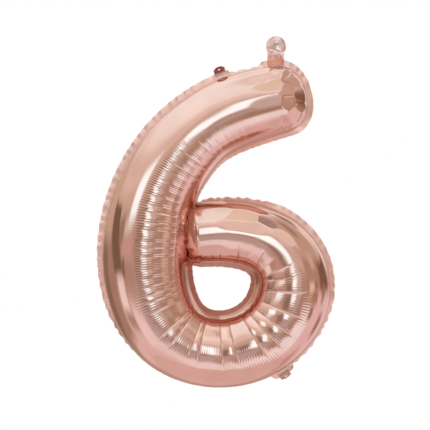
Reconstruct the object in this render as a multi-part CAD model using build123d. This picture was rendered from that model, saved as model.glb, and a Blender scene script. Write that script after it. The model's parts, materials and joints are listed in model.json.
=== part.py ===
from build123d import *
import math
import os

import numpy as np

# A foil number balloon, the numeral 6, inflated. Two foil sheets are welded together round the
# outline and round the counter. The numeral stands in the XZ plane and reads from -Y.
# It is drawn with Z up from its lowest tube and X to the right, then moved so that the
# centre of the top hang hole is the origin.

# ---------------------------------------------------------------- driving dimensions, mm
FILM = 0.8  # thickness that stands for one layer of foil
SEAM = 12.0  # width of the welded flange outside the tube
ARM_CAP = 68.0  # length of the rounded closed end of the arm
BOWL_CAP = 63.0  # length of the rounded end of the bowl, which presses into the stem
CAP_SQUARENESS = 2.3  # exponent of the cap's outline: 2 is an ellipse, more is squarer

# Centreline of the tube from the arm's end, down the stem and round the bowl:
# x, z and the tube's radius.
ROUTE = [
    (110, 608, 73),
    (38, 588, 76.5),
    (-34, 552, 76),
    (-94, 492, 80),
    (-137, 417, 83.5),
    (-158, 337, 87.5),
    (-150, 193, 84.5),
    (-117, 131, 80.5),
    (-63, 93, 75),
    (63, 97, 75),
    (116, 137, 77),
    (146, 195, 78.5),
    (143, 256, 75),
    (113, 301, 70),
    (67, 326, 67),
    (17, 334, 66),
    (-35, 331, 66),
]
SPLIT = 950.0  # path length at which the tube is built as two lofts
SECTION_STEP = 40.0  # path length between the loft sections
SPLIT_STEP = 8.0  # a closer pair of sections at the split keeps the two lofts in line

NECK_X = 112.0  # middle of the fill neck
NECK_Z = 693.5  # its fold line, on the flange's outer edge
NECK_GAP = 2.0  # film left out on each side of the neck's fold line
NECK_WIDTH = 35.0  # where it leaves the flange
NECK_RISE = 17.0  # height of the stretch that leans forward
NECK_DISC_R = 21.0  # radius of the round end
NECK_DISC_Z = 25.5  # height of its centre above the fold line
NECK_RIM = 3.0  # weld round the neck's two foil layers
INLET_WIDTH = 12.0  # filling slot through the front layers
INLET_HEIGHT = 4.5

VALVE_FILM = 0.6  # thickness that stands for one plastic valve film
VALVE_WIDTH = 28.0
VALVE_LENGTH = 88.0  # free length inside the arm
VALVE_GAP = 0.3  # between the two flaps at rest
VALVE_TOP = NECK_Z - SEAM - 6.0  # where the free flaps start
PASSAGE_WIDTH = 30.0  # filling passage through the flange below the neck
PASSAGE_DEPTH = 1.2

TAB_WIDTH = 24.0
TAB_LENGTH = 20.0
TAB_CORNER = 7.0  # cut off the tab's two free corners
TAB_HOLE_R = 2.25
TAB_HOLE_REACH = 10.0  # from the fold line to the hole's centre
TAB_GAP = 1.4  # film left out on each side of a tab's fold line
TOP_TAB_AT = 86.0  # path length at which each tab leaves the outer flange
TOP_TAB_FOLD = 60.0  # degrees towards the front at rest
LOWER_TAB_AT = 839.0
LOWER_TAB_FOLD = -60.0  # folded to the rear

FAR = 400.0  # half size of the blocks that split the model


# ---------------------------------------------------------------- the path
class Route:
    """Natural cubic spline through rows of numbers, by chord length of the first two."""

    def __init__(self, rows):
        self.rows = np.array(rows, float)
        self.steps = np.hypot(*np.diff(self.rows[:, :2], axis=0).T)
        self.knots = np.concatenate([[0.0], np.cumsum(self.steps)])
        self.length = self.knots[-1]
        slopes = np.diff(self.rows, axis=0) / self.steps[:, None]
        system = np.eye(len(self.rows))
        target = np.zeros_like(self.rows)
        for i in range(1, len(self.rows) - 1):
            before, after = self.steps[i - 1], self.steps[i]
            system[i, i - 1 : i + 2] = before, 2 * (before + after), after
            target[i] = 6 * (slopes[i] - slopes[i - 1])
        self.bends = np.linalg.solve(system, target)

    def at(self, s):
        """Row and its slope at path length s; straight on beyond both ends."""
        inside = min(max(s, 0.0), self.length)
        i = min(int(np.searchsorted(self.knots, inside, "right")) - 1, len(self.steps) - 1)
        h = self.steps[i]
        b = (inside - self.knots[i]) / h
        a = 1 - b
        low, high = self.rows[i], self.rows[i + 1]
        m_low, m_high = self.bends[i], self.bends[i + 1]
        row = a * low + b * high + ((a**3 - a) * m_low + (b**3 - b) * m_high) * h * h / 6
        slope = (high - low) / h + ((1 - 3 * a * a) * m_low + (3 * b * b - 1) * m_high) * h / 6
        row = row.copy()
        row[:2] += slope[:2] * (s - inside)
        return row, slope


PATH = Route(ROUTE)


def station(s, grow=0.0):
    """Centre, direction, half width in the plane and half depth of the tube at s."""
    row, slope = PATH.at(s)
    direction = slope[:2] / math.hypot(*slope[:2])
    radius = row[2] + grow
    past, cap = (-s, ARM_CAP) if s < 0 else (s - PATH.length, BOWL_CAP)
    share = min(max(past / (cap + grow), 0.0), 1.0)
    width = radius * (1 - share**CAP_SQUARENESS) ** (1 / CAP_SQUARENESS)
    depth = radius * math.sqrt(1 - share**2)
    return row[:2], direction, width, depth


def cap_shares(count):
    """Shares of a cap's length, closer together towards its tip."""
    angles = [math.radians(90 * i / count) for i in range(1, count + 1)]
    return [math.sin(angle) ** (2 / CAP_SQUARENESS) for angle in angles]


def path_between(start, end):
    count = math.ceil((end - start) / SECTION_STEP)
    return [start + (end - start) * i / count for i in range(count + 1)]


OUTER = 1  # side of the numeral's outer edge: the right of the direction of travel


def edge_point(s, side, grow=0.0):
    """Point of the outline; side is 1 on the right of the direction of travel, -1 left."""
    centre, direction, width, _ = station(s, grow)
    across = np.array([direction[1], -direction[0]]) * side
    return centre + across * width


def outward_at(s):
    """Unit vector out of the numeral's outer edge at s."""
    ahead = edge_point(s + 1, OUTER) - edge_point(s - 1, OUTER)
    ahead = ahead / math.hypot(*ahead)
    return np.array([ahead[1], -ahead[0]]) * OUTER


# ---------------------------------------------------------------- tubes and flange
def tube(stations, grow):
    sections = []
    for s in stations:
        centre, direction, width, depth = station(s, grow)
        plane = Plane(
            origin=(centre[0], 0, centre[1]),
            x_dir=(direction[1], 0, -direction[0]),
            z_dir=(direction[0], 0, direction[1]),
        )
        sections.append(plane * Ellipse(width, depth))
    return loft(sections)


def tube_pair(grow):
    """The arm, stem and bottom as one loft, and the rest of the bowl as another."""
    shares = [share for share in cap_shares(7) if share < 0.995]
    arm_end = [-share * (ARM_CAP + grow) for share in reversed(shares)]
    bowl_end = [PATH.length + share * (BOWL_CAP + grow) for share in shares]
    first = tube(arm_end + path_between(0.0, SPLIT - SPLIT_STEP) + [SPLIT], grow)
    second = tube([SPLIT] + path_between(SPLIT + SPLIT_STEP, PATH.length) + bowl_end, grow)
    return first, second


def plan_face(tip_side, stations, grow):
    """Flat outline of one stretch: along one edge, round the cap and back, then across."""
    tip_length = -(ARM_CAP + grow) if tip_side < 0 else PATH.length + BOWL_CAP + grow
    there = [edge_point(s, 1, grow) for s in stations]
    back = [edge_point(s, -1, grow) for s in reversed(stations)]
    points = there + [edge_point(tip_length, 1, grow)] + back
    corners = [Vector(x, 0, z) for x, z in points]
    return make_face(Spline(*corners) + Line(corners[-1], corners[0]))


def flange():
    """Both layers of the flange as one plate through the whole outline."""
    shares = cap_shares(9)[:-1]
    arm_end = [-share * (ARM_CAP + SEAM) for share in shares]
    bowl_end = [PATH.length + share * (BOWL_CAP + SEAM) for share in shares]
    first = plan_face(-1, list(reversed(path_between(0.0, SPLIT))) + arm_end, SEAM)
    second = plan_face(1, path_between(SPLIT, PATH.length) + bowl_end, SEAM)
    plates = [extrude(face, amount=FILM, dir=(0, 1, 0), both=True) for face in (first, second)]
    return plates[0] + plates[1]


def fold_frame(s):
    """Centre of a tab's fold line on the flange's outer edge, and the outward direction."""
    outward = outward_at(s)
    root = edge_point(s, OUTER) + outward * SEAM
    return root, outward


def fold_plane(s):
    """Local X runs along the fold line, local Y out of the numeral, local Z to the front."""
    root, outward = fold_frame(s)
    return Plane(
        origin=(root[0], 0, root[1]),
        x_dir=(outward[1], 0, -outward[0]),
        z_dir=(0, -1, 0),
    )


def straight_edge(s, width, gap):
    """Block that trims the flange straight, just inside a fold line."""
    trim = Pos(0, SEAM - gap, 0) * Box(width + 4, 2 * SEAM, 8 * FILM)
    return fold_plane(s) * trim


def panels():
    """The two foil sheets: half tube and half flange each."""
    outer = tube_pair(0.0)
    inner = tube_pair(-FILM)
    passage_z = NECK_Z - SEAM / 2
    collar = Pos(NECK_X, 0, passage_z) * Box(
        PASSAGE_WIDTH + 8, PASSAGE_DEPTH + 2 * FILM, SEAM - 2 * NECK_GAP
    )
    sheet = outer[0] + outer[1] + flange() + collar
    sheet = sheet - inner[0] - inner[1]
    sheet -= Pos(NECK_X, 0, passage_z) * Box(PASSAGE_WIDTH, PASSAGE_DEPTH, 3 * SEAM)
    sheet -= Pos(NECK_X, 0, NECK_Z - NECK_GAP + SEAM) * Box(NECK_WIDTH + 6, 8 * FILM, 2 * SEAM)
    sheet -= straight_edge(TOP_TAB_AT, TAB_WIDTH, TAB_GAP)
    sheet -= straight_edge(LOWER_TAB_AT, TAB_WIDTH, TAB_GAP)
    block = Box(2 * FAR, FAR, 4 * FAR)
    front = sheet & (Pos(0, -FAR / 2, 0) * block)
    rear = sheet & (Pos(0, FAR / 2, 0) * block)
    return front, rear


# ---------------------------------------------------------------- fill neck
def neck_strip(near, far):
    """Bent strip between two distances from the neck's middle surface, front side negative."""
    top = NECK_Z + NECK_DISC_Z + NECK_DISC_R
    lean = math.radians(45)
    start = NECK_GAP * math.cos(lean)

    def side(offset):
        normal_y = offset * math.sin(lean)
        normal_z = offset * math.cos(lean)
        bend = offset * math.tan(lean / 2)
        return [
            (-start + normal_y, NECK_Z + start + normal_z),
            (-NECK_RISE + offset, NECK_Z + NECK_RISE + bend),
            (-NECK_RISE + offset, top + 1),
        ]

    outline = side(near) + list(reversed(side(far)))
    points = [Vector(0, y, z) for y, z in outline]
    face = make_face(Polyline(*points, close=True))
    return Pos(NECK_X, 0, 0) * extrude(face, amount=NECK_DISC_R + 5, dir=(1, 0, 0), both=True)


def neck_outline(margin):
    """Front view of the neck as a prism: a round end on a slightly narrower stem."""
    half = NECK_WIDTH / 2 - margin
    disc = Rot(90, 0, 0) * Cylinder(NECK_DISC_R - margin, 100)
    stem = Pos(0, 0, -NECK_DISC_Z / 2) * Box(2 * half, 100, NECK_DISC_Z)
    return Pos(NECK_X, 0, NECK_Z + NECK_DISC_Z) * (disc + stem)


def inlet_slot():
    slot_z = NECK_Z + NECK_DISC_Z + 4
    body = Box(INLET_WIDTH - INLET_HEIGHT, 6 * FILM, INLET_HEIGHT)
    ends = [
        Pos(side * (INLET_WIDTH - INLET_HEIGHT) / 2, 0, 0)
        * (Rot(90, 0, 0) * Cylinder(INLET_HEIGHT / 2, 6 * FILM))
        for side in (-1, 1)
    ]
    return Pos(NECK_X, -NECK_RISE - 3 * FILM - VALVE_GAP / 2, slot_z) * (body + ends[0] + ends[1])


def neck_films():
    """Two foil layers with a welded rim, and the two valve films between them."""
    half_gap = VALVE_GAP / 2
    foil_near = half_gap + VALVE_FILM
    foil_far = foil_near + FILM
    whole = neck_outline(0.0)
    pocket = neck_outline(NECK_RIM)
    slot = inlet_slot()
    front = (neck_strip(-foil_far, 0.0) & whole) - (neck_strip(-foil_near, 1.0) & pocket) - slot
    rear = (neck_strip(0.0, foil_far) & whole) - (neck_strip(-1.0, foil_near) & pocket)
    inner = neck_outline(NECK_RIM + 0.2)
    front_valve = (neck_strip(-foil_near, -half_gap) & inner) - slot
    rear_valve = neck_strip(half_gap, foil_near) & inner
    return front, rear, front_valve, rear_valve


# ---------------------------------------------------------------- valve flaps
def valve_flap(side):
    """One free flap of the valve, hanging inside the arm; side is -1 front, 1 rear."""
    y = side * (VALVE_GAP / 2 + VALVE_FILM / 2)
    flap = Box(VALVE_WIDTH, VALVE_FILM, VALVE_LENGTH)
    lower_edges = flap.edges().filter_by(Axis.Y).group_by(Axis.Z)[0]
    flap = fillet(lower_edges, VALVE_WIDTH / 4)
    return Pos(NECK_X, y, VALVE_TOP - VALVE_LENGTH / 2) * flap


# ---------------------------------------------------------------- hang tabs
def tab_layer(s, fold, side):
    """One foil layer of a hang tab; side is 1 for the front layer, -1 for the rear."""
    half = TAB_WIDTH / 2
    tab = Polyline(
        (-half, TAB_GAP),
        (half, TAB_GAP),
        (half, TAB_LENGTH - TAB_CORNER),
        (half - TAB_CORNER, TAB_LENGTH),
        (-half + TAB_CORNER, TAB_LENGTH),
        (-half, TAB_LENGTH - TAB_CORNER),
        close=True,
    )
    layer = extrude(make_face(tab), amount=side * FILM)
    layer -= Pos(0, TAB_HOLE_REACH, 0) * Cylinder(TAB_HOLE_R, 4 * FILM)
    return fold_plane(s) * (Rot(fold, 0, 0) * layer)


def hang_hole(s, fold):
    """Centre of a tab's hole in the drawing's coordinates."""
    root, outward = fold_frame(s)
    flat = TAB_HOLE_REACH * math.cos(math.radians(fold))
    forward = TAB_HOLE_REACH * math.sin(math.radians(fold))
    return np.array([root[0] + outward[0] * flat, -forward, root[1] + outward[1] * flat])


# ---------------------------------------------------------------- assembly
def build():
    parts = {}
    parts["front_panel"], parts["rear_panel"] = panels()
    films = neck_films()
    parts["neck_front_film"], parts["neck_rear_film"] = films[:2]
    parts["valve_inlet_front_film"], parts["valve_inlet_rear_film"] = films[2:]
    parts["valve_front_flap"] = valve_flap(-1)
    parts["valve_rear_flap"] = valve_flap(1)
    parts["top_tab_front_film"] = tab_layer(TOP_TAB_AT, TOP_TAB_FOLD, 1)
    parts["top_tab_rear_film"] = tab_layer(TOP_TAB_AT, TOP_TAB_FOLD, -1)
    parts["lower_tab_front_film"] = tab_layer(LOWER_TAB_AT, LOWER_TAB_FOLD, 1)
    parts["lower_tab_rear_film"] = tab_layer(LOWER_TAB_AT, LOWER_TAB_FOLD, -1)
    return parts


def place(name, point, origin):
    """Print a point of the drawing in the part's own frame."""
    moved = np.asarray(point, float) - origin
    print(f"{name:14s}", *(f"{value:9.3f}" for value in moved))


def main():
    os.makedirs("parts", exist_ok=True)
    origin = hang_hole(TOP_TAB_AT, TOP_TAB_FOLD)
    to_origin = Pos(*(-origin))
    for name, solid in build().items():
        export_step(to_origin * solid, f"parts/{name}.step")
    for label, s, fold in (
        ("top tab", TOP_TAB_AT, TOP_TAB_FOLD),
        ("lower tab", LOWER_TAB_AT, LOWER_TAB_FOLD),
    ):
        root, outward = fold_frame(s)
        place(label + " fold", (root[0], 0, root[1]), origin)
        place(label + " hole", hang_hole(s, fold), origin)
        print(label, "outward", outward)
    place("neck fold", (NECK_X, 0, NECK_Z), origin)
    place("valve fold", (NECK_X, 0, VALVE_TOP), origin)


main()
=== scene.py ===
"""Foil number balloon, the numeral 6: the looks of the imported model, in metres.

The two foil sheets, the neck, the tabs and the valve are thin film surfaces. They follow the
same path as the CAD tube and are built in the drawing's frame, where the seam lies at y = 0,
then moved into the row frame.
"""
import json
import math

import bpy
import numpy as np
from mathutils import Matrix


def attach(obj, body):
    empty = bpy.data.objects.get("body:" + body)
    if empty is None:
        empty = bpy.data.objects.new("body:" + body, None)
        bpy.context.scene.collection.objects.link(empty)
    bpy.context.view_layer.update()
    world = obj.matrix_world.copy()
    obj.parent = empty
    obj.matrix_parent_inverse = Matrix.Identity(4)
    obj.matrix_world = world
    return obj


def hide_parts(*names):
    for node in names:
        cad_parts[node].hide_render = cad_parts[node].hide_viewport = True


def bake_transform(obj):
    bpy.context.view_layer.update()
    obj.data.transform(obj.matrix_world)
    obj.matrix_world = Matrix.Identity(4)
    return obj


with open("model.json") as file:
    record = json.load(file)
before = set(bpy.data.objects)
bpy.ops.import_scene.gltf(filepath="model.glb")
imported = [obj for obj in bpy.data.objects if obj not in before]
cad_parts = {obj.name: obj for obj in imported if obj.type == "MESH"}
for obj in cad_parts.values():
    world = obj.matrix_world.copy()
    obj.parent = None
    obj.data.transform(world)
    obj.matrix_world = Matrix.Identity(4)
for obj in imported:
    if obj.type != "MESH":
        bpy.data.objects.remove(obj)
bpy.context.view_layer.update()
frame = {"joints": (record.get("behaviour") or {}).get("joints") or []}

MM = 0.001
DEG = math.pi / 180

# ---------------- the tube, as the CAD draws it
SEAM = 12 * MM  # width of the welded flange
ARM_CAP = 68 * MM
BOWL_CAP = 63 * MM
CAP_SQUARENESS = 2.3
BOWL_LEVEL = 0.22  # share of the bowl's cap that stays level before it drops to the stem
BOWL_FALL = 1.25  # power of that drop
SLACK = 5 * MM  # by which the gathered film swells past the seam's line round the counter
SLACK_IN = (340 * MM, 410 * MM)  # stretches of the path where the slack comes and goes
SLACK_OUT = (1150 * MM, 1230 * MM)
ROUTE = MM * np.array([  # X, Z and half width along the tube's middle line, from the arm's end
    (110, 608, 73),
    (38, 588, 76.5),
    (-34, 552, 76),
    (-94, 492, 80),
    (-137, 417, 83.5),
    (-158, 337, 87.5),
    (-150, 193, 84.5),
    (-117, 131, 80.5),
    (-63, 93, 75),
    (63, 97, 75),
    (116, 137, 77),
    (146, 195, 78.5),
    (143, 256, 75),
    (113, 301, 70),
    (67, 326, 67),
    (17, 334, 66),
    (-35, 331, 66),
])
NECK_X = 112 * MM  # middle of the neck's fold
NECK_Z = 693.5 * MM
TOP_TAB_AT = 86 * MM  # path lengths at which the two tabs stand
LOWER_TAB_AT = 839 * MM


def smooth(low, high, x):
    """0 below low, 1 above high, and an even turn between them."""
    t = np.clip((np.asarray(x, float) - low) / (high - low), 0, 1)
    return t * t * (3 - 2 * t)


class Route:
    """Natural cubic spline through rows of numbers, by chord length of the first two."""

    def __init__(self, rows):
        self.rows = rows
        self.steps = np.hypot(*np.diff(rows[:, :2], axis=0).T)
        self.knots = np.concatenate([[0.0], np.cumsum(self.steps)])
        self.length = self.knots[-1]
        slopes = np.diff(rows, axis=0) / self.steps[:, None]
        system = np.eye(len(rows))
        target = np.zeros_like(rows)
        for i in range(1, len(rows) - 1):
            before, after = self.steps[i - 1], self.steps[i]
            system[i, i - 1 : i + 2] = before, 2 * (before + after), after
            target[i] = 6 * (slopes[i] - slopes[i - 1])
        self.bends = np.linalg.solve(system, target)

    def at(self, s):
        """Rows and their slopes at path lengths s, held at the two ends."""
        inside = np.clip(s, 0, self.length)
        i = np.clip(np.searchsorted(self.knots, inside, "right") - 1, 0, len(self.steps) - 1)
        h = self.steps[i][:, None]
        b = (inside - self.knots[i])[:, None] / h
        a = 1 - b
        low, high = self.rows[i], self.rows[i + 1]
        m_low, m_high = self.bends[i], self.bends[i + 1]
        row = a * low + b * high + ((a**3 - a) * m_low + (b**3 - b) * m_high) * h * h / 6
        slope = (high - low) / h + ((1 - 3 * a * a) * m_low + (3 * b * b - 1) * m_high) * h / 6
        return row, slope


PATH = Route(ROUTE)


class Rows:
    """Rows across the tube: path length, and the share of a cap's length past either end."""

    def __init__(self, s):
        self.s = np.asarray(s, float)
        arm = np.clip(-self.s / ARM_CAP, 0, 1)
        bowl = np.clip((self.s - PATH.length) / BOWL_CAP, 0, 1)
        self.share = np.maximum(arm, bowl)
        self.end = np.where(arm > 0, -1.0, 1.0)
        self.row, self.slope = PATH.at(self.s)
        length = np.hypot(self.slope[:, 0], self.slope[:, 1])
        self.direction = self.slope[:, :2] / length[:, None]
        self.across = np.stack([self.direction[:, 1], -self.direction[:, 0]], axis=1)
        self.taper = (1 - self.share**CAP_SQUARENESS) ** (1 / CAP_SQUARENESS)
        fall = np.clip((self.share - BOWL_LEVEL) / (1 - BOWL_LEVEL), 0, 1)
        self.flat = np.where(self.end < 0, np.sqrt(1 - self.share**2), 1 - fall**BOWL_FALL)
        self.slack = SLACK * smooth(*SLACK_IN, self.s) * (1 - smooth(*SLACK_OUT, self.s))

    def centre(self, grow=0.0):
        cap = np.where(self.end < 0, ARM_CAP, BOWL_CAP) + grow
        return self.row[:, :2] + self.slope[:, :2] * (self.end * self.share * cap)[:, None]

    def width(self, grow=0.0):
        return (self.row[:, 2] + grow) * self.taper

    def depth(self):
        return self.row[:, 2] * self.flat

    def edge(self, side, grow=0.0):
        """Points of the outline; side is 1 on the numeral's outer edge, -1 on its inner edge."""
        reach = self.width(grow) + (self.slack if side < 0 else 0)
        return self.centre(grow) + self.across * (side * reach)[:, None]


# ---------------- meshes
def drawing_origin():
    """Where the drawing's own origin lies in the row frame."""
    neck = next(joint for joint in frame["joints"] if joint["name"] == "neck_fold")
    return np.array(neck["pos_m"]) - np.array([NECK_X, 0.0, NECK_Z])


ORIGIN = drawing_origin()


def mesh_object(name, points, faces, material):
    """A smooth-shaded mesh in the row frame, from points in the drawing's frame."""
    mesh = bpy.data.meshes.new(name)
    mesh.from_pydata((np.asarray(points) + ORIGIN).tolist(), [], faces)
    mesh.polygons.foreach_set("use_smooth", [True] * len(mesh.polygons))
    mesh.materials.append(material)
    mesh.validate()
    obj = bpy.data.objects.new(name, mesh)
    bpy.context.scene.collection.objects.link(obj)
    return obj


def used_only(points, faces):
    """The points that the faces use, and the faces with their new numbers."""
    used = sorted({i for face in faces for i in face})
    number = {old: new for new, old in enumerate(used)}
    return np.asarray(points)[used], [tuple(number[i] for i in face) for face in faces]


def quads(rows, columns, closed=False):
    """Faces of a grid of points; a closed one joins its last column to its first."""
    return [(r * columns + c, r * columns + (c + 1) % columns,
             (r + 1) * columns + (c + 1) % columns, (r + 1) * columns + c)
            for r in range(rows - 1) for c in range(columns if closed else columns - 1)]


def trim(points, faces, value):
    """Cuts the faces along value = 0 and keeps the side where value is below 0."""
    points = [tuple(p) for p in points]
    cuts = {}
    kept = []

    def cut(i, j):
        key = (min(i, j), max(i, j))
        if key not in cuts:
            share = value[key[0]] / (value[key[0]] - value[key[1]])
            a, b = (np.array(points[k]) for k in key)
            cuts[key] = len(points)
            points.append(tuple(a + (b - a) * share))
        return cuts[key]

    for face in faces:
        outside = [value[i] > 0 for i in face]
        if not any(outside):
            kept.append(face)
            continue
        if all(outside):
            continue
        corners = []
        for k, i in enumerate(face):
            j = face[(k + 1) % len(face)]
            if value[i] <= 0:
                corners.append(i)
            if (value[i] <= 0) != (value[j] <= 0):
                corners.append(cut(i, j))
        if len(corners) > 2:
            kept.append(tuple(corners))
    return np.array(points), kept


# ---------------- the film's folds
PLEAT = 4.7 * MM  # one fine pleat along the tube's middle line
PLEAT_KINDS = 400  # pleats that differ before their heights and starts repeat
PLEATS_FROM = 44 * MM
PLEATS_FADE = 40 * MM  # over which the folds grow to their height, from the arm's end
PLEATS_TO = 1212 * MM
PLEATS_RUN_ON = 60 * MM  # past that, with the height the last ones have there
SHARP_FOLDS = [190, 228, 259, 579, 626, 650, 688, 706, 752, 780, 829, 857, 884, 918, 963, 1020,
               1084, 1146, 1193]
STEM_ENDS = 600 * MM  # where the folds' spacing changes from the stem's to the bowl's
SOFT_FOLD_STEP = 19 * MM  # between the shallow folds that fill the gaps along the stem
WIDE_FOLD_STEP = 34 * MM  # and round the bowl
GROOVE_HALF = 1.3 * MM  # half width of the groove along a sharp fold

# Pairs of path length in mm and value: where round the tube the folds begin, in degrees from 0
# at the numeral's outer edge to 180 at its inner edge, their height, the share of it that the
# stem loses on its inner side, and the height of the grooves and of three stretches of pleat.
FOLDS_BEGIN = [(80, 112), (160, 98), (230, 82), (350, 76), (500, 79), (600, 77), (690, 70),
               (750, 63), (850, 58), (910, 59), (955, 64), (985, 73), (1025, 86), (1085, 99),
               (1200, 112)]
FOLD_HEIGHT = [(44, 0.2), (140, 0.4), (220, 0.7), (320, 1.0), (560, 1.1), (620, 1.0), (900, 1.2),
               (1040, 1.0), (1212, 0.7)]
STEM_LOSS = [(180, 0.0), (240, 0.6), (540, 0.6), (620, 0.0)]
GROOVE_HEIGHT = [(84, 0.3), (300, 0.5), (560, 0.8), (620, 1.1), (1212, 1.1)]
PLEAT_EDGE = [(44, 0.05), (120, 0.11), (230, 0.12), (300, 0.10), (560, 0.10), (700, 0.12),
              (900, 0.12), (1000, 0.10), (1080, 0.06), (1212, 0.03)]
PLEAT_MIDDLE = [(44, 0.06), (120, 0.10), (230, 0.10), (300, 0.07), (560, 0.07), (620, 0.03),
                (900, 0.02), (1212, 0.015)]
PLEAT_INNER = [(44, 0.06), (150, 0.09), (300, 0.09), (560, 0.07), (1212, 0.05)]


def fold_lines(sharp, rng):
    """Places of all folds along the path and how sharp each is, 0 or 1."""
    ends = sorted([PLEATS_FROM] + [line * MM for line in sharp] + [PLEATS_TO])
    lines, sharpness = [], []
    for low, high in zip(ends, ends[1:]):
        step = SOFT_FOLD_STEP if high < STEM_ENDS else WIDE_FOLD_STEP
        count = max(1, round((high - low) / step))
        for i in range(count):
            jitter = rng.uniform(-0.18, 0.18) if i else 0.0
            lines.append(low + (high - low) * (i + jitter) / count)
            sharpness.append(0.0 if i else 1.0)
    lines.append(ends[-1])
    sharpness.append(1.0)
    return np.array(lines), np.array(sharpness)


def by_path(knots, s):
    """A value along the path, from (path length in mm, value) pairs."""
    places, values = zip(*knots)
    return np.interp(s / MM, places, values)


class Folds:
    """Height of the film's pleats and folds over the plain tube, for one sheet."""

    def __init__(self, sharp, seed):
        rng = np.random.default_rng(seed)
        self.lines, self.sharpness = fold_lines(sharp, rng)
        count = len(self.lines) + 1
        self.height = rng.uniform(0.6, 1.35, count)
        self.peak = rng.uniform(0.36, 0.64, count)
        self.start = rng.normal(0, 1.7, count)
        # All folds lean alike, or they would cross; the others of these draws go unused.
        self.lean = rng.uniform(-0.08, 0.08, count)[5] * MM
        self.pleat_height = rng.uniform(0.6, 1.4, PLEAT_KINDS)
        self.pleat_start = rng.normal(0, 0.7, PLEAT_KINDS)

    def at(self, s, phi):
        """Height at path lengths s (n, 1) and angles phi in degrees (1, m)."""
        place = s + self.lean * (phi - 100)
        i = np.clip(np.searchsorted(self.lines, place, "right"), 1, len(self.lines) - 1)
        low, high = self.lines[i - 1], self.lines[i]
        t = np.clip((place - low) / (high - low), 0, 1)
        begin = by_path(FOLDS_BEGIN, s) + self.start[i]
        growth = np.log(0.5) / np.log(self.peak[i])
        bulge = np.sin(math.pi * t**growth)
        near_seam = 1 - smooth(128, 158, phi)
        swell = smooth(0, 30, phi - begin) * near_seam
        swell = swell * (1 - by_path(STEM_LOSS, s) * smooth(98, 118, phi))
        height = by_path(FOLD_HEIGHT, s) * MM * self.height[i] * (bulge - 0.45) * swell
        nearest = np.minimum(place - low, high - place)
        is_low = (place - low) < (high - place)
        sharp = np.where(is_low, self.sharpness[i - 1], self.sharpness[i])
        groove = by_path(GROOVE_HEIGHT, s) * MM * sharp * np.exp(-((nearest / GROOVE_HALF) ** 2))
        height -= groove * smooth(4, 18, phi - begin) * near_seam
        return height + self.pleats(s, phi, i, t, begin)

    def pleats(self, s, phi, i, t, begin):
        """Height of the fine pleats, at share t of the way from fold line i - 1 to i."""
        count = np.maximum(1, np.round((self.lines[i] - self.lines[i - 1]) / PLEAT))
        turn = count * t
        which = (self.lines[i - 1] / PLEAT + turn).astype(int) % PLEAT_KINDS
        wave = 0.5 - 0.5 * np.cos(2 * math.pi * turn)
        at = phi - begin - self.pleat_start[which]
        edge, middle, inner = (by_path(k, s) for k in (PLEAT_EDGE, PLEAT_MIDDLE, PLEAT_INNER))
        size = edge + (middle - edge) * smooth(18, 30, at)
        size = size + (inner - size) * smooth(122, 136, phi)
        size = size * smooth(-0.6, 1.2, at) * (1 - smooth(138, 168, phi))
        return MM * size * self.pleat_height[which] * (wave - 0.5) * 2


# ---------------- the two sheets
FINE = 0.8 * MM  # between the rows of the pleated stretch
EVERY = 4  # fine rows to one coarse row
CAP_ROWS = 45
ARM_ROWS = 27  # from the arm's cap to the first pleat
FLANGE_LEVELS = MM * np.array([1.2, 3.5, 6.5, 9.5, 12.0])  # distances from the seam
OUTER_ANGLES = [0, 2, 5, 8, 11, 14, 17, 20, 23, 26, 29, 32, 35, 38, 41, 44, 47, 50]
INNER_ANGLES = list(np.linspace(53, 165, 46)) + [168, 171, 174, 176.5, 178.5, 180]
FIRST_INNER = len(OUTER_ANGLES)
FILM_GAP = 0.12 * MM  # from the weld's middle surface to each film's side of it

# Degrees by which the flange leans to the rear along each edge of the numeral, and the share of
# its ripple's swing, as pairs of path length in mm and value.
OUTER_TILT = [(-68, 8), (-25, 12), (0, 40), (25, 68), (65, 62), (95, 15), (130, 4), (300, 4),
              (440, 12), (540, 30), (590, 62), (620, 77), (815, 77), (850, 62), (925, 55),
              (950, 40), (985, 25), (1010, 8), (1090, 8), (1120, 48), (1180, 58)]
INNER_TILT = [(-68, 8), (-40, 20), (-15, 50), (60, 52), (140, 55), (200, 72), (290, 78),
              (340, 50), (390, 46), (600, 46), (1000, 46), (1100, 56), (1180, 62)]
SWING_SHARE = [(580, 1.0), (630, 0.3), (820, 0.3), (870, 1.0)]
OUTER_RIPPLE = (21 * MM, 12)  # pitch along the seam, and swing in degrees
INNER_RIPPLE = (17 * MM, 3)
RIPPLE_WANDER = (47, 83, 131)  # lengths in mm over which the ripple's pitch drifts
FLAT_TILT = 2  # degrees, where the flange lies flat
NECK_FLAT = (-56 * MM, -42 * MM), (2 * MM, 14 * MM)  # where that starts and stops at the neck
TAB_FLAT = (11 * MM, 18 * MM)  # and how far from a tab's middle it stops


def row_places():
    """Path lengths of all rows, and which of them the coarse columns use too."""
    cap = np.sin(np.radians(np.linspace(90, 0, CAP_ROWS + 1)[:-1])) ** (2 / CAP_SQUARENESS)
    arm = -ARM_CAP * cap
    before = np.linspace(0, PLEATS_FROM, ARM_ROWS + 1)[:-1]
    count = EVERY * round((PLEATS_TO - PLEATS_FROM) / FINE / EVERY)
    pleated = np.linspace(PLEATS_FROM, PLEATS_TO, count + 1)
    after = np.array([PATH.length])
    bowl = PATH.length + BOWL_CAP * cap[::-1]
    s = np.concatenate([arm, before, pleated, after, bowl])
    coarse = np.ones(len(s), bool)
    first = len(arm) + len(before)
    coarse[first : first + count] = np.arange(count) % EVERY == 0
    return s, coarse


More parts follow.
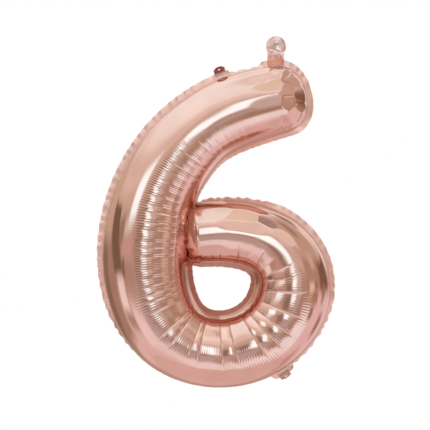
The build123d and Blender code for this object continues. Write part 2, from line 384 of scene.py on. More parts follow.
def calm(side, s):
    """1 where the flange lies flat for the neck or a tab, 0 away from them."""
    if side < 0:
        return np.zeros_like(s)
    neck = smooth(*NECK_FLAT[0], s) * (1 - smooth(*NECK_FLAT[1], s))
    at_tabs = [1 - smooth(*TAB_FLAT, np.abs(s - place)) for place in (TOP_TAB_AT, LOWER_TAB_AT)]
    return np.maximum.reduce([neck, *at_tabs])


def flange(rows, side, face, seed):
    """Points of one edge's flange, (rows, levels, 3)."""
    rng = np.random.default_rng(seed)
    seam = rows.edge(side)
    arc = np.concatenate([[0.0], np.cumsum(np.hypot(*np.diff(seam, axis=0).T))])
    wander = np.zeros_like(arc)
    for length in RIPPLE_WANDER:
        wander += 0.8 * np.sin(2 * math.pi * arc / (length * MM) + rng.uniform(0, 6.3))
    pitch, swing = OUTER_RIPPLE if side > 0 else INNER_RIPPLE
    swing = swing * by_path(SWING_SHARE, rows.s)
    ripple = np.sin(2 * math.pi * arc / pitch + wander)
    flat = calm(side, rows.s)
    tilt = by_path(OUTER_TILT if side > 0 else INNER_TILT, rows.s) * (1 - flat) + FLAT_TILT * flat
    points = []
    along = np.zeros_like(arc)
    back = np.zeros_like(arc)
    last = 0.0
    for level in FLANGE_LEVELS:
        share = level / SEAM
        angle = DEG * np.minimum(tilt + (swing * ripple * share**0.7 + 6 * share) * (1 - flat), 88)
        along = along + (level - last) * np.cos(angle)
        back = back + (level - last) * np.sin(angle)
        last = level
        outline = rows.edge(side, level) - seam
        reach = np.hypot(outline[:, 0], outline[:, 1])
        unit = outline / np.maximum(reach, 1e-9)[:, None]
        plane = seam + unit * along[:, None] * (reach / level)[:, None]
        plane = plane + unit * (face * FILM_GAP * np.sin(angle))[:, None]
        y = back - face * FILM_GAP * np.cos(angle)
        points.append(np.stack([plane[:, 0], y, plane[:, 1]], axis=1))
    return np.stack(points, axis=1)


FLUTES_MEET = 12 * MM  # inside the path's end, where the flutes' lines would meet
FLUTES_FADE = (-50 * MM, -5 * MM)  # before the path's end, where they start to show
FLUTED_ENDS = ((-1, ARM_CAP, 5, "arm_flutes"), (1, BOWL_CAP, 6, "bowl_flutes"))  # 3rd: spread
FACET_REACH = (28 * MM, 60 * MM)  # from a facet's middle, where it starts and stops to fade
SWAY = 0.8 * MM  # height of the sheet's long, gentle waves
SWAY_WAVES = (9, 0.34, 0.16)  # how many, and the longest and shortest
PUCKER = 1.1 * MM  # depth of the dimples beside the outer seam
PUCKER_PITCH = 23 * MM
PUCKER_DRIFT = 31 * MM
RIPPLE_SEEDS = (11, 12)  # outer and inner edge; both sheets use the same


def end_flutes(end, along, across, half, cap, spread, flutes):
    """Height of the radial gathers that run to the seam round one closed end, -1 arm or 1 bowl.
    Each is (bearing in degrees from the tube's direction, depth in mm)."""
    past = -along if end < 0 else along - PATH.length
    bearing = np.degrees(np.arctan2(across, past + FLUTES_MEET))
    distance = np.hypot(across / half, np.maximum(past, 0) / cap)
    height = np.zeros_like(bearing)
    for angle, depth in flutes:
        height -= depth * MM * np.exp(-np.abs(bearing - angle) / spread)
    inward = smooth(0.45, 0.9, distance) * (1 - smooth(0.95, 1.0, distance))
    return height * inward * smooth(*FLUTES_FADE, past)


def press_facets(points, normal, place, pinned, facets):
    """Presses flat facets into the film. Each is (path length, distance across, depth) in mm of
    its middle; place holds those two lengths for every point."""
    for along, across, depth in facets:
        target = np.array([along, across]) * MM
        i = np.unravel_index(np.argmin(np.sum((place - target) ** 2, axis=2)), pinned.shape)
        excess = (points - points[i]) @ normal[i] + depth * MM
        away = np.hypot(*(place - target).transpose(2, 0, 1))
        facing = normal @ normal[i] > 0.5
        push = np.where((excess > 0) & facing, excess, 0) * pinned
        push = push * (1 - smooth(*FACET_REACH, away))
        points = points - normal[i] * push[..., None]
    return points


def press_grooves(place, grooves):
    """Depth of long creases; each is (depth, half width, corners), in mm like the facets."""
    total = np.zeros(place.shape[:2])
    for depth, half_width, corners in grooves:
        corners = np.array(corners, float) * MM
        away = np.full(place.shape[:2], np.inf)
        for a, b in zip(corners, corners[1:]):
            share = np.clip(((place - a) @ (b - a)) / np.sum((b - a) ** 2), 0, 1)
            gap = place - a - share[..., None] * (b - a)
            away = np.minimum(away, np.hypot(gap[..., 0], gap[..., 1]))
        total = np.maximum(total, depth * MM * np.exp(-away / (half_width * MM)))
    return total


def gentle(points, seed, count, longest, shortest):
    """Sum of long sine waves over the sheet, between -1 and 1."""
    rng = np.random.default_rng(seed)
    total = np.zeros(points.shape[:-1])
    for _ in range(count):
        direction = rng.normal(size=3)
        direction /= np.linalg.norm(direction)
        length = rng.uniform(shortest, longest)
        total += np.sin(2 * math.pi * (points @ direction) / length + rng.uniform(0, 6.3))
    return total / count


def outward_normals(points, centre):
    normal = np.cross(np.gradient(points, axis=0), np.gradient(points, axis=1))
    size = np.linalg.norm(normal, axis=2, keepdims=True)
    normal = normal / np.maximum(size, 1e-12)
    flip = np.sign(np.sum(normal * (points - centre), axis=2, keepdims=True))
    return normal * np.where(flip == 0, 1, flip)


def plain_tube(rows, face, angles):
    """Half the tube before anything is pressed into it, (rows, columns, 3), and its normals."""
    middle = rows.centre()
    inward = np.clip(-np.cos(angles * DEG), 0, 1)
    reach = rows.width()[:, None] * np.cos(angles * DEG) - rows.slack[:, None] * inward**2
    plane = middle[:, None, :] + rows.across[:, None, :] * reach[..., None]
    y = -face * rows.depth()[:, None] * np.sin(angles * DEG)
    tube = np.stack([plane[..., 0], y, plane[..., 1]], axis=2)
    centre = np.stack([middle[:, 0], 0 * rows.s, middle[:, 1]], axis=1)[:, None, :]
    return tube, outward_normals(tube, centre)


def film_grid(face, folds, shape, seed):
    """All points of one sheet, (rows, columns, 3), with its rows; face is 1 front, -1 rear."""
    s, coarse = row_places()
    rows = Rows(s)
    angles = np.array(OUTER_ANGLES + INNER_ANGLES, float)[None, :]
    tube, normal = plain_tube(rows, face, angles)
    path_length = s[:, None]
    across = rows.width()[:, None] * np.cos(angles * DEG)
    past_end = rows.end * rows.share * np.where(rows.end < 0, ARM_CAP, BOWL_CAP)
    along = (np.clip(s, 0, PATH.length) + past_end)[:, None] + 0 * across
    place = np.stack([along, across], axis=2)
    half = rows.row[:, 2][:, None]
    pinned = np.sin(angles * DEG) ** 0.5

    height = np.where((path_length > PLEATS_FROM) & (path_length < PLEATS_TO + PLEATS_RUN_ON),
                      folds.at(np.minimum(path_length, PLEATS_TO - MM), angles), 0.0)
    height = height * smooth(PLEATS_FROM, PLEATS_FROM + PLEATS_FADE, path_length)
    height = height - press_grooves(place, shape["grooves"]) * pinned
    for end, cap, spread, flutes in FLUTED_ENDS:
        height = height + end_flutes(end, along, across, half, cap, spread, shape[flutes])
    height = height + SWAY * gentle(tube, seed, *SWAY_WAVES) * pinned
    drift = 2 * np.sin(path_length / PUCKER_DRIFT)
    pucker = 0.5 + 0.5 * np.cos(2 * math.pi * path_length / PUCKER_PITCH + drift)
    near_outer = np.exp(-angles / 7.0) * smooth(0, 3, angles)
    height = height - PUCKER * pucker * near_outer

    firm = (smooth(0, 9, angles) * (1 - smooth(171, 180, angles))) + 0 * across
    tube = press_facets(tube, normal, place, firm, shape["facets"])
    tube = tube + normal * height[..., None]
    outer = flange(rows, 1, face, RIPPLE_SEEDS[0])[:, ::-1]
    inner = flange(rows, -1, face, RIPPLE_SEEDS[1])
    return rows, coarse, np.concatenate([outer, tube, inner], axis=1)


def grid_faces(coarse, columns, first_fine):
    """Quads of the grid; columns before first_fine use the coarse rows only."""

    def number(row, column):
        return row * columns + column

    def quad(low, high, c):
        return number(low, c), number(low, c + 1), number(high, c + 1), number(high, c)

    faces = []
    for row in range(len(coarse) - 1):
        faces += [quad(row, row + 1, c) for c in range(first_fine, columns - 1)]
    places = np.flatnonzero(coarse)
    for low, high in zip(places, places[1:]):
        faces += [quad(low, high, c) for c in range(first_fine - 1)]
        fine_side = [number(row, first_fine) for row in range(low, high + 1)]
        faces.append((number(low, first_fine - 1), *fine_side, number(high, first_fine - 1)))
    return faces


# What the film takes at its two closed ends, lengths in mm: flat facets (path length, distance
# across, depth), long creases (depth, half width, corners as path length and distance across),
# and the flutes round each end (bearing in degrees, depth).
FRONT_SHAPE = {
    "facets": [(-15, 50, 2.2), (-33, 38, 2.6), (-47, 20, 2.6), (-51, -3, 2.6), (-44, -26, 2.6),
               (-29, -43, 2.4), (-9, -52, 1.8), (-8, 27, 2.4), (-27, 12, 2.6), (-24, -15, 2.6),
               (4, -6, 0.9), (14, 44, 1.6), (30, 64, 1.2), (1200, 40, 2.6), (1150, 34, 2.2),
               (1142, 16, 1.9), (1106, 36, 0.9), (1066, 27, 0.8), (1222, -32, 1.6)],
    "grooves": [(1.7, 2.2, [(-34, 72), (-18, 58), (16, 40)]),
                (0.9, 1.6, [(-38, -24), (-20, -40), (4, -66)]),
                (0.8, 1.2, [(150, 70), (190, 74)]),
                (0.9, 1.8, [(1236, -22), (1206, -19), (1176, -22)])],
    "arm_flutes": [(66, 1.3), (41, 1.5), (12, 1.2), (-16, 1.4), (-42, 1.5), (-70, 1.2)],
    "bowl_flutes": [(66, 2.4), (38, 2.8), (14, 2.4), (-12, 2.6), (-36, 2.8), (-62, 2.4)],
}
REAR_SHAPE = {
    "facets": [(-18, 52, 2.2), (-36, 34, 2.6), (-50, 10, 2.6), (-48, -16, 2.6), (-34, -38, 2.4),
               (-12, -54, 1.8), (-12, 24, 2.4), (-30, -4, 2.6), (-14, -26, 2.4), (1206, 36, 2.4),
               (1160, 42, 1.8), (1224, -16, 1.8), (1110, 30, 1.2)],
    "grooves": [(1.4, 2.2, [(-40, -58), (-14, -44), (20, -36)]),
                (0.9, 1.6, [(-36, 66), (-10, 52)])],
    "arm_flutes": [(58, 1.3), (30, 1.5), (4, 1.2), (-25, 1.4), (-52, 1.3)],
    "bowl_flutes": [(58, 2.4), (28, 2.6), (-2, 2.4), (-30, 2.6), (-56, 2.4)],
}
STEM = (150 * MM, 640 * MM)  # the stretch of tube that the bowl's end presses into
BOWL_END = 1030 * MM  # where the bowl's last stretch starts
BOWL_CUT_FROM = BOWL_END + 40 * MM  # and where it can be cut
OVERLAP = 0.8 * MM  # film that runs on past the crease between bowl and stem
BESIDE_REACH = 150 * MM  # rows further off than this are taken only when none is nearer


class Stretch:
    """Part of the tube, asked how deep it is at other points."""

    def __init__(self, low, high):
        self.rows = Rows(np.arange(low, high, MM))
        self.middle = self.rows.centre()

    def beside(self, plane_points):
        """Distance across from the centreline, half width and half depth at each point."""
        gap = plane_points[:, None, :] - self.middle[None]
        along = np.abs(np.sum(gap * self.rows.direction[None], axis=2))
        far = np.hypot(gap[..., 0], gap[..., 1])
        i = np.argmin(along + np.where(far < BESIDE_REACH, 0, 1.0) + 1e-3 * far, axis=1)
        across = np.sum(gap[np.arange(len(i)), i] * self.rows.across[i], axis=1)
        return across, self.rows.width()[i], self.rows.depth()[i]


def hidden_depth(points, is_flange, other, flange_margin):
    """How far points lie inside another stretch of the tube; below 0 is outside."""
    across, width, depth = other.beside(points[:, [0, 2]])
    share = np.clip(np.abs(across) / np.maximum(width, 1e-6), 0, 4)
    inside = depth * np.sqrt(np.clip(1 - share**2, 0, 1)) - np.abs(points[:, 1])
    beyond = width - np.abs(across)
    tube_value = np.where(share < 1, np.minimum(inside, beyond + 10 * MM), beyond)
    return np.where(is_flange, beyond + flange_margin, tube_value)


def sheet(face, folds, shape, seed):
    """One foil sheet, cut where the bowl's end meets the stem: tube and flange apart."""
    rows, coarse, grid = film_grid(face, folds, shape, seed)
    columns = grid.shape[1]
    levels = len(FLANGE_LEVELS)
    faces = grid_faces(coarse, columns, levels + FIRST_INNER)
    if face < 0:
        faces = [tuple(reversed(f)) for f in faces]
    points = grid.reshape(-1, 3)
    s = np.repeat(rows.s, columns)
    column = np.tile(np.arange(columns), len(rows.s))
    is_flange = (column < levels) | (column >= columns - levels)
    value = np.full(len(points), -1.0)
    stem, bowl = Stretch(*STEM), Stretch(BOWL_END, PATH.length + BOWL_CAP)
    in_stem = (s > STEM[0]) & (s < STEM[1]) & (column >= levels + FIRST_INNER)
    in_bowl = s > BOWL_CUT_FROM
    value[in_stem] = hidden_depth(points[in_stem], is_flange[in_stem], bowl, 0.0) - OVERLAP
    value[in_bowl] = hidden_depth(points[in_bowl], is_flange[in_bowl], stem, SEAM) - OVERLAP
    kinds = {"tube": [], "seam": []}
    for f in faces:
        kinds["seam" if any(is_flange[i] for i in f) else "tube"].append(f)
    return {kind: used_only(*trim(points, some, value)) for kind, some in kinds.items()}


# ---------------- neck, valve and tabs
NECK_HALF = 17.5 * MM
NECK_DISC_R = 21 * MM
NECK_DISC_Z = 25.5 * MM  # centre of the neck's round end above its fold
NECK_RISE = 17 * MM  # height at which it stops leaning out and stands up
NECK_LEAN = 0.6
NECK_LAP = 1.5 * MM  # foil of the neck that starts above the tube's seam
NECK_CRUMPLE = (31, 1.3 * MM, 44 * MM, 20 * MM)  # seed, size, longest and shortest wave
NECK_GAP = 0.55 * MM  # from the neck's middle surface to each foil
NECK_OVER_SEAM = 0.4 * MM  # extra gap of each foil over the flange
INLET_GAP = 0.2 * MM  # from the neck's middle surface to each valve film
INLET_INSET = 3.2 * MM  # from the foil's edge to the valve film's
VALVE_TOP = 18 * MM  # below the neck's fold
VALVE_HALF = 14 * MM
VALVE_LENGTH = 88 * MM
VALVE_GAP = 0.45 * MM  # from the valve's middle surface to each free film
VALVE_WAVE = (0.12 * MM, 29 * MM)  # height and length of the films' gentle wave
INLET = (3.75 * MM, 2.25 * MM, 4 * MM)  # half length, end radius, height above the disc's centre


def soft_ramp(x, width):
    """0 below 0 and x above it, with a rounded turn."""
    return width * np.logaddexp(0, x / width)


def crumple(a, b, seed, size, longest, shortest):
    """Sharp-edged facets of crumpled film: triangle waves in several directions."""
    rng = np.random.default_rng(seed)
    total = np.zeros(np.broadcast(a, b).shape)
    for _ in range(6):
        turn = rng.uniform(0, math.pi)
        pitch = rng.uniform(shortest, longest)
        place = (a * math.cos(turn) + b * math.sin(turn)) / pitch + rng.uniform(0, 1)
        cross = a * math.sin(turn) - b * math.cos(turn)
        bent = place + 0.12 * np.sin(2 * math.pi * cross / (2.3 * pitch))
        total += rng.uniform(0.5, 1.0) * (4 * np.abs(bent - np.floor(bent) - 0.5) - 1)
    return size * total / 3


def disc_half(height, half, radius, centre):
    """Half width of a round end that stands on a straight strip."""
    disc = np.sqrt(np.clip(radius**2 - (height - centre) ** 2, 0, None))
    below = np.maximum(disc * (np.abs(height - centre) < radius), half)
    return np.where(height < centre, below, disc)


def strip(name, half, heights, place, material, hole=None):
    """A film strip: half width at each height, and place(x, height, share across) for its
    points. A hole is a function of x and height that is above 0 inside it."""
    across = np.linspace(-1, 1, 41)[None, :]
    tall = heights[:, None] + 0 * across
    x = across * half(heights)[:, None]
    points = place(x, tall, across).reshape(-1, 3)
    faces = quads(*x.shape)
    if hole is not None:
        points, faces = trim(points, faces, hole(x, tall).reshape(-1))
    return mesh_object(name, *used_only(points, faces), material)


def neck_place(offset, lap):
    """Places the points of a film of the neck. offset is its distance to the front of the
    neck's middle surface, and lap what it stands off more over the flange."""
    seam = Rows(np.linspace(-ARM_CAP * 0.9, 40 * MM, 120)).edge(1)
    seam = seam[np.argsort(seam[:, 0])]

    def place(x, height, across):
        low = np.interp(NECK_X + x, seam[:, 0], seam[:, 1]) - NECK_Z + NECK_LAP
        drop = np.clip(-height / SEAM, 0, 1)
        z = np.where(height < 0, low * drop, height)
        bend = NECK_RISE - 0.16 * x
        forward = NECK_LEAN * (soft_ramp(z + SEAM, 1.5 * MM) - soft_ramp(z - bend, 1.6 * MM))
        crease = crumple(x, z, *NECK_CRUMPLE) * smooth(-SEAM, 2 * MM, z)
        weld = smooth(0.72, 0.97, np.abs(across))
        apart = offset * (1 - weld) + math.copysign(FILM_GAP, offset) * weld
        apart = apart + lap * (1 - smooth(-4 * MM, 4 * MM, z))
        return np.stack([NECK_X + x, -forward - apart + crease, NECK_Z + z], axis=-1)

    return place


def inlet_slot(x, height):
    half_length, radius, above = INLET
    beyond = np.maximum(np.abs(x) - half_length, 0)
    return radius - np.hypot(beyond, height - NECK_DISC_Z - above)


def neck_rows(low, step, bend, top):
    """Heights of a film's rows in metres: even steps from low to bend, which are in mm, then
    closer ones as the round end narrows to its top."""
    turn = np.linspace(0, 1, 16)[1:]
    even = np.arange(low, bend, step) * MM
    return np.concatenate([even, bend * MM + (top - bend * MM) * (1 - (1 - turn) ** 2)])


def neck_half(inset):
    """Half width of a film of the neck by height; inset is what its edge keeps clear."""
    return lambda height: disc_half(height, NECK_HALF - inset, NECK_DISC_R - inset, NECK_DISC_Z)


def neck_films(foil_skin, plastic):
    top = NECK_DISC_Z + NECK_DISC_R
    rows = np.concatenate([np.linspace(-SEAM, 0, 8)[:-1], neck_rows(0, 0.9, 38, top)])
    inner_rows = neck_rows(-2, 1.0, 34, top - INLET_INSET)
    for name, inset, heights, offset, lap, skin, slot in (
        ("neck", 0.0, rows, NECK_GAP, NECK_OVER_SEAM, foil_skin, "neck_foil"),
        ("valve_inlet", INLET_INSET, inner_rows, INLET_GAP, 0.0, plastic, "valve_film"),
    ):
        for layer, side, hole in (("front", 1, inlet_slot), ("rear", -1, None)):
            place = neck_place(side * offset, side * lap)
            obj = strip(f"{name}_{layer}", neck_half(inset), heights, place, skin, hole)
            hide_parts(f"{name}_{layer}_film")
            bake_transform(obj)


def flap_place(side):
    """Places the points of one free valve film; side is -1 front or 1 rear."""

    def place(x, height, across):
        size, length = VALVE_WAVE
        wave = size * np.sin(2 * math.pi * height / length) * np.cos(2.2 * across)
        y = side * (VALVE_GAP + wave)
        return np.stack([NECK_X + x, y, NECK_Z - VALVE_TOP - height], axis=-1)

    return place


def valve_flaps(plastic):
    corner = VALVE_HALF / 2
    straight = VALVE_LENGTH - corner
    turn = np.linspace(0, math.pi / 2, 9)
    heights = np.concatenate([np.arange(0, straight, 2 * MM), straight + corner * np.sin(turn)])

    def half(height):
        past = np.clip(height - straight, 0, corner)
        return VALVE_HALF - corner + np.sqrt(corner**2 - past**2)

    for side, body in ((-1, "valve_front"), (1, "valve_rear")):
        obj = strip(body + "_film", half, heights, flap_place(side), plastic)
        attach(obj, body)
        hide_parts(body + "_flap")


TAB_HALF = 12 * MM
TAB_LENGTH = 20 * MM
TAB_CORNER = 7 * MM
TAB_HOLE = 2.25 * MM
TAB_REACH = 10 * MM  # from the fold to the hole's centre
TAB_LAP = 7 * MM  # of the tab's film over the flange
TAB_FOLD = 60  # degrees, to the front for the top tab and to the rear for the lower one
TAB_STEP = 1.2 * MM  # between points along the outline
TAB_RINGS = 12
TAB_CRUMPLE = (0.55 * MM, 15 * MM, 8 * MM)  # size, longest and shortest wave


def tab_outline():
    """Corners of a tab round its hole's centre, in turn."""
    side, end = TAB_HALF, TAB_LENGTH - TAB_REACH
    corners = [(side, -TAB_REACH - TAB_LAP), (side, end - TAB_CORNER), (side - TAB_CORNER, end)]
    return corners + [(-x, y) for x, y in reversed(corners)]


def tab_rings():
    """Points in the tab's flat film, (rings, places round the hole, 2)."""
    corners = tab_outline()
    around = []
    for (x0, y0), (x1, y1) in zip(corners, corners[1:] + corners[:1]):
        steps = max(2, round(math.hypot(x1 - x0, y1 - y0) / TAB_STEP))
        around += [(x0 + (x1 - x0) * i / steps, y0 + (y1 - y0) * i / steps) for i in range(steps)]
    edge = np.array(around)
    hole = edge / np.hypot(edge[:, 0], edge[:, 1])[:, None] * TAB_HOLE
    share = np.linspace(0, 1, TAB_RINGS)[:, None, None]
    return hole + (edge - hole) * share


def tabs(skin):
    rings = tab_rings()
    faces = quads(*rings.shape[:2], closed=True)
    front = np.array([0.0, -1.0, 0.0])
    a, b = rings[..., 0], rings[..., 1] + TAB_REACH
    beyond = soft_ramp(b, 0.9 * MM)
    reach = b - (1 - math.cos(TAB_FOLD * DEG)) * beyond
    for name, s, way, seed in (("top_tab", TOP_TAB_AT, 1, 41), ("lower_tab", LOWER_TAB_AT, -1, 42)):
        row = Rows([s])
        outward = np.array([row.across[0, 0], 0.0, row.across[0, 1]])
        root = np.array([*row.edge(1)[0], 0.0])[[0, 2, 1]] + outward * SEAM
        beside = np.array([outward[2], 0.0, -outward[0]])
        lift = way * math.sin(TAB_FOLD * DEG) * beyond
        creased = crumple(a, b, seed, *TAB_CRUMPLE) * smooth(0, 4 * MM, b)
        for side, layer in ((1, "front"), (-1, "rear")):
            apart = side * MM * (0.3 - 0.15 * smooth(-1 * MM, 4 * MM, b)) + creased
            points = (root + a[..., None] * beside + reach[..., None] * outward
                      + (lift + apart)[..., None] * front).reshape(-1, 3)
            obj = mesh_object(f"{name}_{layer}", points, faces, skin)
            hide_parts(f"{name}_{layer}_film")
            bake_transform(obj)


# ---------------- materials
class Graph:
    """Short forms for building one node tree."""

    def __init__(self, owner):
        owner.use_nodes = True
        self.tree = owner.node_tree
        self.tree.nodes.clear()

    def add(self, kind, **settings):
        node = self.tree.nodes.new(kind)
        for key, value in settings.items():
            setattr(node, key, value)
        return node

    def feed(self, socket, value):
        """Links a socket, or sets it when the value is a constant."""
        if isinstance(value, bpy.types.NodeSocket):
            self.tree.links.new(value, socket)
        else:
            socket.default_value = value

    def fill(self, node, values):
        """Feeds inputs of a node, by name or number, and gives its first output."""
        for key, value in values.items():
            self.feed(node.inputs[key], value)
        return node.outputs[0]

    def math(self, operation, *values):
        node = self.add("ShaderNodeMath", operation=operation)
        return self.fill(node, dict(enumerate(values)))

    def mix(self, factor, first, second):
        """Mixes two colours, which a mix node takes at inputs 6 and 7 and gives at output 2."""
        node = self.add("ShaderNodeMix", data_type="RGBA")
        self.fill(node, {0: factor, 6: first, 7: second})
        return node.outputs[2]

    def between(self, value, low, high):
        """0 below low, 1 above high, with a smooth step."""
        node = self.add("ShaderNodeMapRange", interpolation_type="SMOOTHSTEP")
        return self.fill(node, {0: value, 1: low, 2: high})

    def noise(self, vector, scale, detail=3.0):
        node = self.add("ShaderNodeTexNoise")
        return self.fill(node, {"Vector": vector, "Scale": scale, "Detail": detail})


RIM_MIDDLE = (-21 * MM, 241 * MM)  # X and Z, in the drawing, of the region round the counter where shade is painted into the foil's tone
RIM_HALF = (105 * MM, 160 * MM)
RIM_FADE = (1.2, 0.85)  # shares of that half size at which the tone is plain and fully darkened by the painted shade
RIM_DEPTH = (56 * MM, 16 * MM)  # and distances from the seam's plane
RIM_PAINTED_SHADE = (0.78, 0.63, 0.57)  # painted shade: multiplies the foil's tone where it turns in to the seam there, standing in for the shade in the counter's crease


def painted_rim_shade(g, where):
    """Mask of painted shade: 1 on film that turns in towards the seam round the counter, 0
    elsewhere.
    """
    split = g.add("ShaderNodeSeparateXYZ")
    g.feed(split.inputs[0], where)
    squares = []
    for axis, middle, half in zip((0, 2), RIM_MIDDLE, RIM_HALF):
        off = g.math("SUBTRACT", split.outputs[axis], float(ORIGIN[axis]) + middle)
        off = g.math("MULTIPLY", off, 1 / half)
        squares.append(g.math("MULTIPLY", off, off))
    away = g.math("SQRT", g.math("ADD", *squares))
    deep = g.math("ABSOLUTE", g.math("SUBTRACT", split.outputs[1], float(ORIGIN[1])))
    return g.math("MULTIPLY", g.between(away, *RIM_FADE), g.between(deep, *RIM_DEPTH))


def surface(name):
    """A new material, its node tree, its shader and the place on the object."""
    material = bpy.data.materials.new(name)
    g = Graph(material)
    shader = g.add("ShaderNodeBsdfPrincipled")
    g.feed(g.add("ShaderNodeOutputMaterial").inputs[0], shader.outputs[0])
    return material, g, shader, g.add("ShaderNodeTexCoord").outputs["Object"]


def foil(name, tone, metal, crinkle, crinkle_scale, rough_low, rough_high):
    """Metallised film: a mirror-bright coat with faint clouding and fine crinkles, and painted
    shade that darkens its tone round the counter.
    """
    material, g, shader, where = surface(name)
    darker = tuple(0.955 * c for c in tone)
    lighter = tuple(min(1.0, 1.035 * c) for c in tone)
    cloud = g.between(g.noise(where, 14.0), 0.3, 0.7)
    colour = g.mix(cloud, (*darker, 1), (*lighter, 1))
    # painted shade: the tone darkened where the film turns in to the seam round the counter
    shaded_tone = tuple(c * share for c, share in zip(tone, RIM_PAINTED_SHADE))
    scuff = g.between(g.noise(where, 55.0, 4.0), 0.35, 0.7)
    height = g.noise(where, crinkle_scale, 2.0)
    bump = {"Strength": crinkle, "Distance": 0.2 * MM, "Height": height}
    g.fill(shader, {
        "Metallic": metal,
        "Base Color": g.mix(painted_rim_shade(g, where), colour, (*shaded_tone, 1)),
        "Roughness": g.math("MULTIPLY_ADD", scuff, rough_high - rough_low, rough_low),
        "Normal": g.fill(g.add("ShaderNodeBump"), bump),
    })
    return material


def valve_plastic():
    """Clear film with a faint haze."""
    material, g, shader, where = surface("valve_plastic")
    haze = g.between(g.noise(where, 60.0), 0.3, 0.7)
    g.fill(shader, {
        "Base Color": g.mix(haze, (0.80, 0.66, 0.62, 1), (0.88, 0.76, 0.72, 1)),
        "Roughness": g.math("MULTIPLY_ADD", haze, 0.12, 0.16),
        "Transmission Weight": 0.55,
        "IOR": 1.45,
    })
    return material


ROSE_GOLD = (0.82, 0.485, 0.405)
SEALED_FOIL = (0.96, 0.577, 0.486)  # paler where the two sheets are heat-sealed
CRUMPLED_FOIL = (0.89, 0.566, 0.498)  # of the neck
SHADED_TAB_FOIL = (0.60, 0.31, 0.25)  # of the tabs: a darker, redder copy of the rose gold, painted shade and inter-reflection of the folded film

# ---------------- studio
ROOM_TINT = (0.96, 0.866, 0.844)  # multiplies every tone below
# Tones of the studio by height in degrees.
SKY_STEPS = [
    (-90, (0.92, 0.87, 0.90)),
    (-60, (0.90, 0.87, 0.92)),
    (-45, (0.92, 0.95, 1.00)),
    (-25, (0.70, 0.70, 0.68)),
    (-8, (0.52, 0.48, 0.42)),
    (5, (0.48, 0.44, 0.38)),
    (18, (0.75, 0.78, 0.72)),
    (33, (1.00, 1.20, 1.20)),
    (45, (1.15, 1.55, 1.65)),
    (65, (1.17, 1.65, 1.80)),
    (90, (0.95, 1.10, 1.10)),
]
# Soft patches of the studio as the foil sees it: left, right, low and high edges in degrees,
# softness, and brightness in red, green and blue. Azimuth 0 is towards the camera, below 0 to
# its left. A last number is a lean, in degrees sideways for each degree of height.
PATCHES = [
    (100, 185, -70, -20, 12, (0.70, 0.57, 0.56)),
    (-185, -140, -70, -20, 12, (0.70, 0.58, 0.57)),
    (50, 150, -45, -4, 7, (0.95, 0.97, 1.08)),
    (18, 66, -52, -17, 7, (1.08, 1.45, 1.65)),
    (-52, -16, -46, -20, 6, (1.02, 1.18, 1.32)),
    (-18, 22, -56, -32, 6, (1.02, 1.28, 1.42)),
    (-22, 18, -27, -10, 5, (0.58, 0.64, 0.68)),
    (-152, -86, -38, 4, 6, (0.44, 0.40, 0.33)),
    (-150, -116, -27, 2, 5, (0.29, 0.24, 0.19)),
    (-185, -150, 5, 62, 8, (1.10, 1.38, 1.38)),
    (-152, -104, 4, 25, 5, (0.70, 0.72, 0.60)),
    (-112, -20, 22, 33, 5, (0.86, 0.98, 0.95)),
    (-94, -66, -9, 17, 1.5, (0.22, 0.19, 0.12), -0.9),
    (-80, -58, -25, -10, 4, (1.08, 1.35, 1.42)),
    (-78, -54, -33, -25, 4, (0.48, 0.46, 0.40)),
    (-62, -26, -4, 4, 3, (0.70, 0.63, 0.62)),
    (-57, -34, 5, 12, 3, (0.86, 1.00, 0.99)),
    (-22, -7, -8, 9, 3, (0.33, 0.31, 0.25)),
    (-72, -60, 3, 13, 3, (0.38, 0.37, 0.32)),
    (-152, -138, 4, 13, 3, (0.50, 0.48, 0.37)),
    (-60, -52, -10, -3, 2, (0.27, 0.22, 0.20)),
    (-48, -29, 10, 24, 4, (1.35, 2.30, 2.70)),
    (6, 22, -6, 20, 4, (0.73, 0.84, 0.84)),
    (-5, 8, -3.5, 19, 3.5, (1.35, 2.30, 2.70)),
    (24, 112, 23, 68, 7, (0.66, 0.66, 0.58)),
    (22, 50, 32, 46, 5, (1.00, 1.15, 1.10)),
    (38, 102, 6, 24, 5, (0.52, 0.46, 0.36)),
    (88, 130, -3, 18, 4, (0.24, 0.18, 0.12)),
    (128, 185, 5, 66, 8, (1.03, 1.18, 1.24)),
    (48, 66, -3, 5, 3, (0.92, 0.98, 0.92)),
    (66, 80, -1, 5, 2, (0.45, 0.35, 0.28)),
    (114, 138, 42, 60, 5, (0.46, 0.42, 0.38)),
    (96, 110, -9, 1, 3, (0.38, 0.30, 0.22)),
    (-3, 26, 46, 74, 7, (0.97, 1.15, 1.05)),
    (24, 38, 49, 60, 3, (0.42, 0.39, 0.48)),
    (11, 30, -33, -15, 4, (0.43, 0.40, 0.31)),
    (46, 62, -13, -5, 3, (0.53, 0.50, 0.34)),
    (60, 80, -14, -2, 4, (0.50, 0.37, 0.27)),
    (57, 71, -27, -15, 4, (0.40, 0.32, 0.24)),
    (104, 122, -34, -20, 4, (0.45, 0.35, 0.30)),
    (96, 104, -14, -4, 3, (0.48, 0.39, 0.29)),
    (155, 190, 50, 72, 5, (0.60, 0.44, 0.36)),
    (66, 88, 44, 60, 4, (0.46, 0.41, 0.36)),
    (62, 78, 16, 30, 4, (0.78, 0.80, 0.70)),
    (150, 190, -42, 46, 8, (0.56, 0.48, 0.40)),
    (-190, -150, -4, 40, 8, (0.80, 0.80, 0.74)),
    (-190, -150, -42, -4, 6, (0.56, 0.48, 0.40)),
]


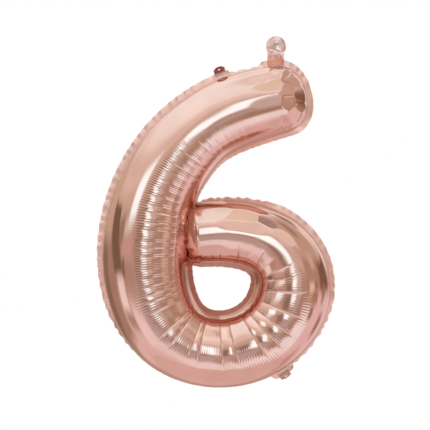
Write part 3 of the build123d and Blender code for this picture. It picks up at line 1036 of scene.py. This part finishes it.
def studio_world():
    world = bpy.data.worlds.new("studio")
    bpy.context.scene.world = world
    g = Graph(world)
    split = g.add("ShaderNodeSeparateXYZ")
    g.feed(split.inputs[0], g.add("ShaderNodeTexCoord").outputs["Generated"])
    x, y, z = split.outputs
    azimuth = g.math("MULTIPLY", g.math("ARCTAN2", x, g.math("MULTIPLY", y, -1.0)), 1 / DEG)
    height = g.math("MULTIPLY", g.math("ARCSINE", z), 1 / DEG)
    colour = (*SKY_STEPS[0][1], 1)
    for (low, _), (high, tone) in zip(SKY_STEPS, SKY_STEPS[1:]):
        colour = g.mix(g.between(height, low, high), colour, (*tone, 1))
    for left, right, low, high, soft, tone, *lean in PATCHES:
        place = g.math("MULTIPLY_ADD", height, -lean[0], azimuth) if lean else azimuth
        inside = g.math("MULTIPLY", g.between(place, left - soft, left + soft),
                        g.between(place, right + soft, right - soft))
        upright = g.math("MULTIPLY", g.between(height, low - soft, low + soft),
                         g.between(height, high + soft, high - soft))
        colour = g.mix(g.math("MULTIPLY", inside, upright), colour, (*tone, 1))
    tinted = g.fill(g.add("ShaderNodeVectorMath", operation="MULTIPLY"), {0: colour, 1: ROOM_TINT})
    light = g.fill(g.add("ShaderNodeBackground"), {0: tinted})
    plain = g.fill(g.add("ShaderNodeBackground"), {0: (1, 1, 1, 1)})
    from_camera = g.add("ShaderNodeLightPath").outputs["Is Camera Ray"]
    both = g.fill(g.add("ShaderNodeMixShader"), {0: from_camera, 1: light, 2: plain})
    g.feed(g.add("ShaderNodeOutputWorld").inputs[0], both)


FLOOR_Z = -2.3
FLOOR_RADIUS = 1.3
FLOOR_SIDES = 96


def studio_floor():
    """A pale floor, well below the hanging balloon."""
    turns = [2 * math.pi * i / FLOOR_SIDES for i in range(FLOOR_SIDES)]
    mesh = bpy.data.meshes.new("floor")
    ring = [(FLOOR_RADIUS * math.cos(t), FLOOR_RADIUS * math.sin(t), FLOOR_Z) for t in turns]
    mesh.from_pydata(ring, [], [tuple(range(FLOOR_SIDES))])
    material, g, shader, where = surface("floor_paint")
    cloud = g.between(g.noise(where, 3.0), 0.3, 0.7)
    g.fill(shader, {
        "Base Color": g.mix(cloud, (0.90, 0.72, 0.73, 1), (0.93, 0.74, 0.75, 1)),
        "Roughness": g.math("MULTIPLY_ADD", cloud, 0.1, 0.7),
    })
    mesh.materials.append(material)
    floor = bpy.data.objects.new("floor", mesh)
    bpy.context.scene.collection.objects.link(floor)


CAMERA_DISTANCE = 2.496  # from the seam's plane
CAMERA_AIM = (-8.5 * MM, -302.6 * MM)  # X and Z that the camera looks at, in the row frame
CAMERA_LENS = 100  # this and the sensor's width in mm
CAMERA_SENSOR = 36


def camera():
    data = bpy.data.cameras.new("camera")
    data.lens = CAMERA_LENS
    data.sensor_width = CAMERA_SENSOR
    obj = bpy.data.objects.new("camera", data)
    bpy.context.scene.collection.objects.link(obj)
    obj.location = (CAMERA_AIM[0], ORIGIN[1] - CAMERA_DISTANCE, CAMERA_AIM[1])
    obj.rotation_euler = (90 * DEG, 0, 0)
    bpy.context.scene.camera = obj


def sheets():
    """The front and rear foil sheets; the rear one has fewer sharp folds."""
    for name, face, folds, shape, seed in (
        ("front", 1, Folds(SHARP_FOLDS, 61), FRONT_SHAPE, 5),
        ("rear", -1, Folds(SHARP_FOLDS[3:], 62), REAR_SHAPE, 6),
    ):
        skins = {
            "tube": foil(name + "_foil", ROSE_GOLD, 0.96, 0.15, 260, 0.05, 0.11),
            "seam": foil(name + "_seam_foil", SEALED_FOIL, 0.78, 0.12, 300, 0.32, 0.40),
        }
        for kind, (points, faces) in sheet(face, folds, shape, seed).items():
            obj = mesh_object(f"{name}_{kind}", points, faces, skins[kind])
            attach(obj, "balloon")
            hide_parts(name + "_panel")


def build():
    camera()
    studio_world()
    scene = bpy.context.scene
    scene.view_settings.view_transform = "Standard"
    scene.cycles.max_bounces = 16  # light goes to and fro many times between the mirror faces
    scene.cycles.glossy_bounces = 12
    sheets()
    crumpled = foil("crumpled_foil", CRUMPLED_FOIL, 0.85, 0.1, 300, 0.2, 0.3)
    plastic = valve_plastic()
    neck_films(crumpled, plastic)
    valve_flaps(plastic)
    # the tabs' foil is painted darker and redder, as shade of the folded film
    tabs(foil("tab_foil_painted_shade", SHADED_TAB_FOIL, 0.85, 0.1, 300, 0.24, 0.34))
    studio_floor()


build()
